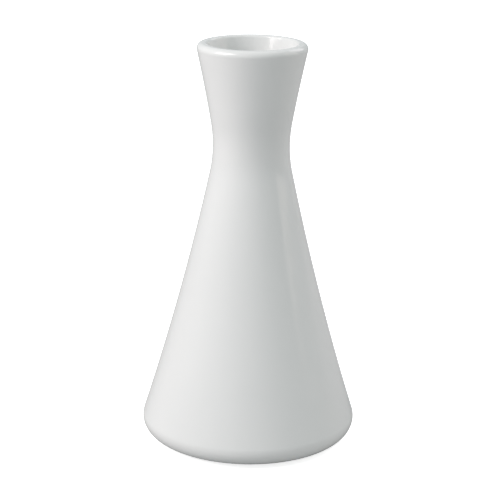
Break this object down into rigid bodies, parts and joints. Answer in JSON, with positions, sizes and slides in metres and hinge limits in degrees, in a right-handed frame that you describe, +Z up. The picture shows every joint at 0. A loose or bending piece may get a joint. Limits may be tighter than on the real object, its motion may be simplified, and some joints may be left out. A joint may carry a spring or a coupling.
{
  "type": "flower vase",
  "caption": "Small table bud vase in white glazed porcelain: a tall cone body drawn in to a high waist, then a short flared neck with a thick rounded lip.",
  "frame": {"origin": "centre of the foot's resting plane, on the vase's axis", "axes": "+Z up along the vase's axis to the mouth; X and Y are free, as the vase is round"},
  "size_m": [0.0696, 0.0696, 0.13],
  "materials": {
    "porcelain": "bare fired porcelain, fine and matt, seen only at the foot ring",
    "outer_glaze": "clear gloss glaze over white porcelain",
    "inner_glaze": "clear gloss glaze over white porcelain",
    "base_glaze": "clear gloss glaze, thin, inside the foot ring"
  },
  "bodies": {
    "root": {"porcelain_body": "porcelain", "outer_glaze": "outer_glaze", "inner_glaze": "inner_glaze", "base_glaze": "base_glaze"}
  },
  "joints": []
}
